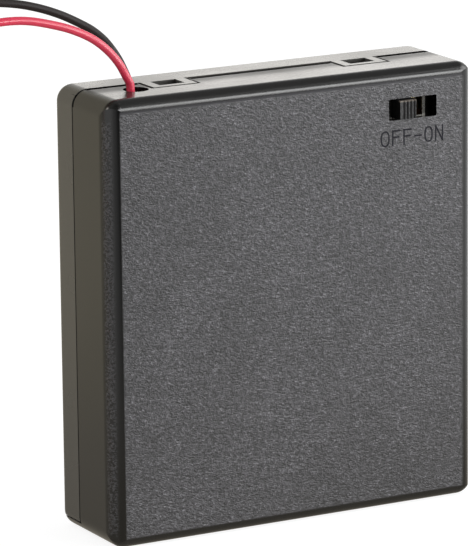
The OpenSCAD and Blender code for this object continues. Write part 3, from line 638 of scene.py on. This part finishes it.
bm = bmesh.new()
verts = [bm.verts.new(p) for p in ((-4, -4, 0), (4, -4, 0), (4, 4, 0), (-4, 4, 0))]
bm.faces.new(verts)
floor_mat = bpy.data.materials.new("floor")
floor_mat.use_nodes = True
tree = floor_mat.node_tree
tree.nodes.clear()
out = tree.nodes.new("ShaderNodeOutputMaterial")
path = tree.nodes.new("ShaderNodeLightPath")
gloss = math_node(tree, "ADD", path.outputs["Is Glossy Ray"],
                  path.outputs["Is Transmission Ray"], clamp=True)
diff = node(tree, "ShaderNodeBsdfDiffuse")
diff.inputs["Color"].default_value = (0.7, 0.7, 0.69, 1)
soft = node(tree, "ShaderNodeBsdfDiffuse")
soft.inputs["Color"].default_value = (0.28, 0.28, 0.28, 1)
glow = node(tree, "ShaderNodeEmission")
glow.inputs["Color"].default_value = (1, 1, 1, 1)
glow.inputs["Strength"].default_value = 0.84
shown = node(tree, "ShaderNodeEmission")
away = node(tree, "ShaderNodeVectorMath", operation="LENGTH")
link(tree, place(tree), away.inputs[0])
# painted shadow: what gloss sees of the floor is dimmer close to the object
near = span(tree, away.outputs["Value"], 0.03, 0.2, 0.5, 1.0)
color, level = room(tree, place(tree))
warmth = span(tree, away.outputs["Value"], 0.03, 0.16)
link(tree, blend_color(tree, warmth, (0.9, 0.82, 0.68), color), shown.inputs["Color"])
link(tree, math_node(tree, "MULTIPLY", level, near), shown.inputs["Strength"])
add = tree.nodes.new("ShaderNodeAddShader")
link(tree, soft.outputs[0], add.inputs[0])
link(tree, glow.outputs[0], add.inputs[1])
mix = tree.nodes.new("ShaderNodeMixShader")
link(tree, path.outputs["Is Camera Ray"], mix.inputs[0])
link(tree, diff.outputs[0], mix.inputs[1])
link(tree, add.outputs[0], mix.inputs[2])
both = tree.nodes.new("ShaderNodeMixShader")
link(tree, gloss, both.inputs[0])
link(tree, mix.outputs[0], both.inputs[1])
link(tree, shown.outputs[0], both.inputs[2])
link(tree, both.outputs[0], out.inputs[0])
floor = finish_mesh(bm, "floor", floor_mat, smooth=False)

world = bpy.data.worlds.new("studio")
scene.world = world
world.use_nodes = True
tree = world.node_tree
tree.nodes.clear()
out = tree.nodes.new("ShaderNodeOutputWorld")
path = tree.nodes.new("ShaderNodeLightPath")
gloss = math_node(tree, "ADD", path.outputs["Is Glossy Ray"],
                  path.outputs["Is Transmission Ray"], clamp=True)
where = tree.nodes.new("ShaderNodeTexCoord").outputs["Generated"]
sep = tree.nodes.new("ShaderNodeSeparateXYZ")
link(tree, where, sep.inputs[0])
ceiling = span(tree, sep.outputs["Z"], 0.35, 0.75, 1.0, 0.3)
dim = node(tree, "ShaderNodeBackground", Color=(0.93, 0.96, 1.0, 1), Strength=0.5)
white = node(tree, "ShaderNodeBackground", Strength=1.0)
shown = node(tree, "ShaderNodeBackground")
color, level = room(tree, where)
link(tree, color, shown.inputs["Color"])
link(tree, math_node(tree, "MULTIPLY", level, ceiling), shown.inputs["Strength"])
mix = tree.nodes.new("ShaderNodeMixShader")
link(tree, path.outputs["Is Camera Ray"], mix.inputs[0])
link(tree, dim.outputs[0], mix.inputs[1])
link(tree, white.outputs[0], mix.inputs[2])
both = tree.nodes.new("ShaderNodeMixShader")
link(tree, gloss, both.inputs[0])
link(tree, mix.outputs[0], both.inputs[1])
link(tree, shown.outputs[0], both.inputs[2])
link(tree, both.outputs[0], out.inputs[0])


def softbox(name, at, aim, size, power, color=(1, 1, 1)):
    data = bpy.data.lights.new(name, "AREA")
    data.shape = "RECTANGLE"
    data.size, data.size_y = size
    data.energy = power
    data.color = color
    obj = bpy.data.objects.new(name, data)
    scene.collection.objects.link(obj)
    obj.location = at
    obj.rotation_euler = (Vector(aim) - Vector(at)).to_track_quat("-Z", "Y").to_euler()
    return obj


def around(azimuth, elevation, distance):
    az, el = math.radians(azimuth), math.radians(elevation)
    return (distance * math.cos(el) * math.cos(az), distance * math.cos(el) * math.sin(az),
            distance * math.sin(el) + 0.04)


softbox("key", around(336, 20, 1.0), (0, 0, 0.045), (0.8, 0.72), 7.0)
softbox("strip", around(300, 10, 1.0), (0, 0, 0.045), (0.66, 0.28), 5.5)
softbox("left", around(172, 39, 1.0), (0, 0, 0.05), (0.36, 0.3), 3.0, (1, 0.96, 0.88))
softbox("back", around(52, 13, 1.2), (0, 0, 0.06), (0.6, 0.34), 0.75, (1, 0.955, 0.89))
